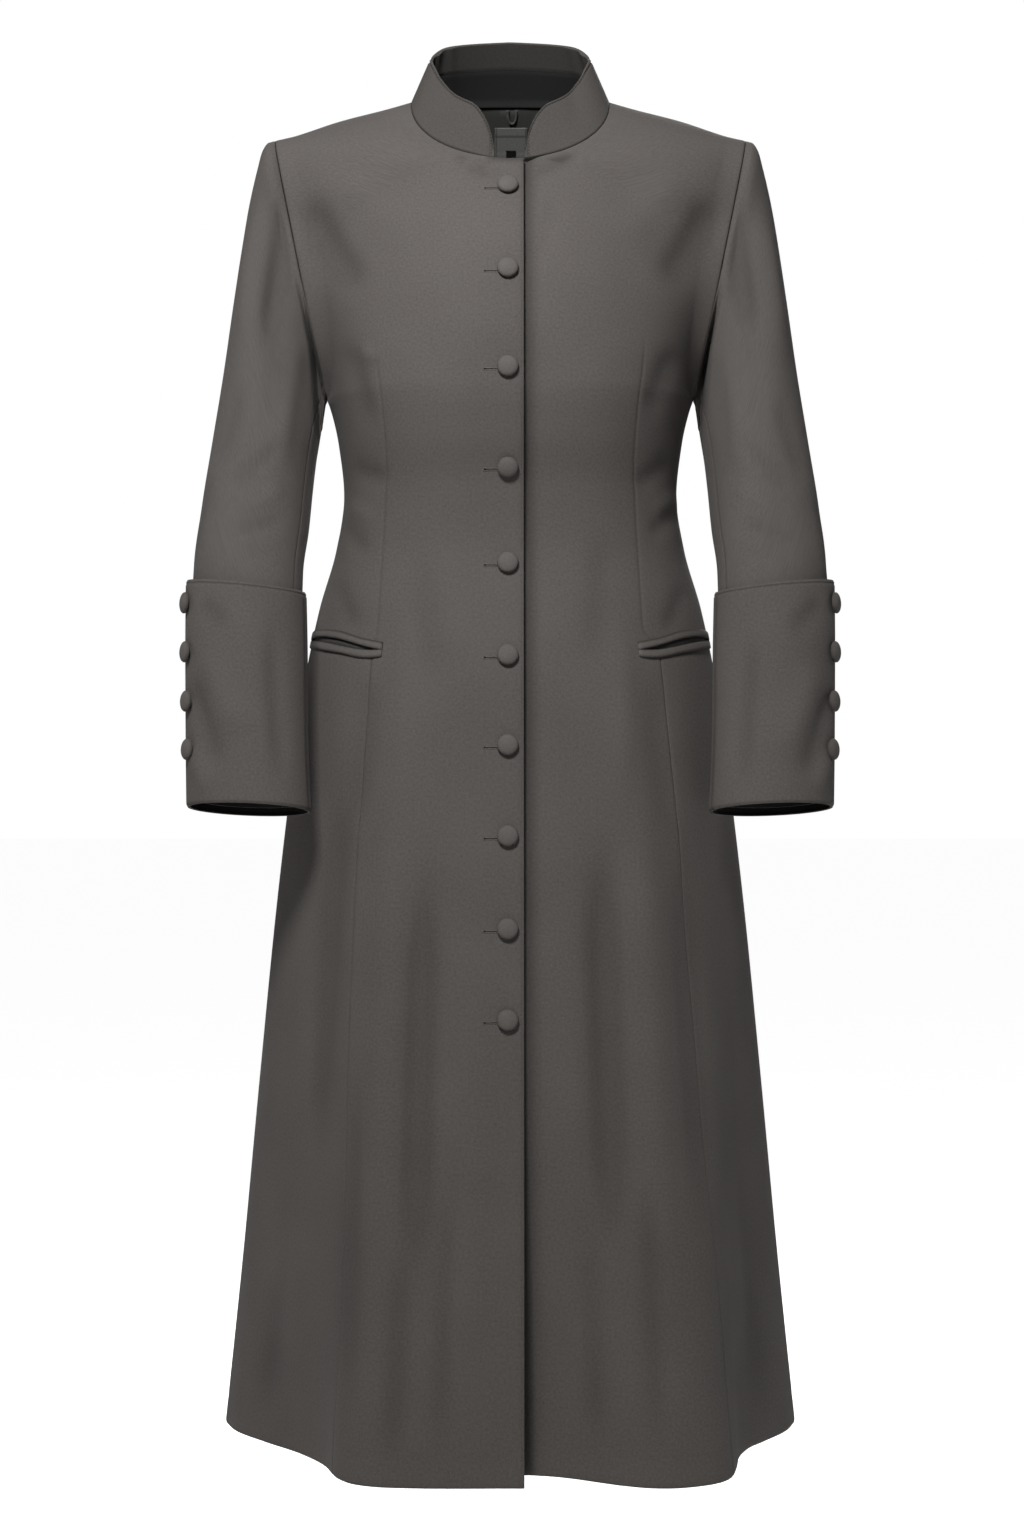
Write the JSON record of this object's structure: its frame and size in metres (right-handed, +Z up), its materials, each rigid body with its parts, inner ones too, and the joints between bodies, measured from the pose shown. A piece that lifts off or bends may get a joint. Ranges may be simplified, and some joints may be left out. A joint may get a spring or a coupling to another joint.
{
  "type": "clergy robe",
  "caption": "Long fitted clergy robe, hollow as when worn, with a stand collar, a buttoned front, welt pockets, deep turned-back cuffs and a flared skirt.",
  "frame": {"origin": "midway between the two high shoulder points at the neck, where the wearer's shoulders carry the robe", "axes": "+Z up along the body, -Y the front, +X the wearer's left"},
  "size_m": [0.5554, 0.43, 1.2214],
  "materials": {
    "twill": "warm grey wool-like twill with a soft sheen",
    "covered_button": "the same twill drawn tight over a domed button",
    "lining": "dark satin lining",
    "tape": "dark woven tape, bare"
  },
  "bodies": {
    "root": {"back_left": "twill", "back_neck_facing": "lining", "back_right": "twill", "button_cuff_left_1": "covered_button", "button_cuff_left_2": "covered_button", "button_cuff_left_3": "covered_button", "button_cuff_left_4": "covered_button", "button_cuff_right_1": "covered_button", "button_cuff_right_2": "covered_button", "button_cuff_right_3": "covered_button", "button_cuff_right_4": "covered_button", "button_front_01": "covered_button", "button_front_02": "covered_button", "button_front_03": "covered_button", "button_front_04": "covered_button", "button_front_05": "covered_button", "button_front_06": "covered_button", "button_front_07": "covered_button", "button_front_08": "covered_button", "button_front_09": "covered_button", "button_front_10": "covered_button", "care_tag": "tape", "collar": "twill", "cuff_left": "twill", "cuff_right": "twill", "front_left": "twill", "front_right": "twill", "hanger_loop": "tape", "neck_label": "tape", "pocket_facing_left": "lining", "pocket_facing_right": "lining", "pocket_welt_lower_left": "twill", "pocket_welt_lower_right": "twill", "pocket_welt_upper_left": "twill", "pocket_welt_upper_right": "twill", "side_front_left": "twill", "side_front_right": "twill", "under_sleeve_left": "twill", "under_sleeve_right": "twill", "upper_sleeve_left": "twill", "upper_sleeve_right": "twill"}
  },
  "joints": []
}
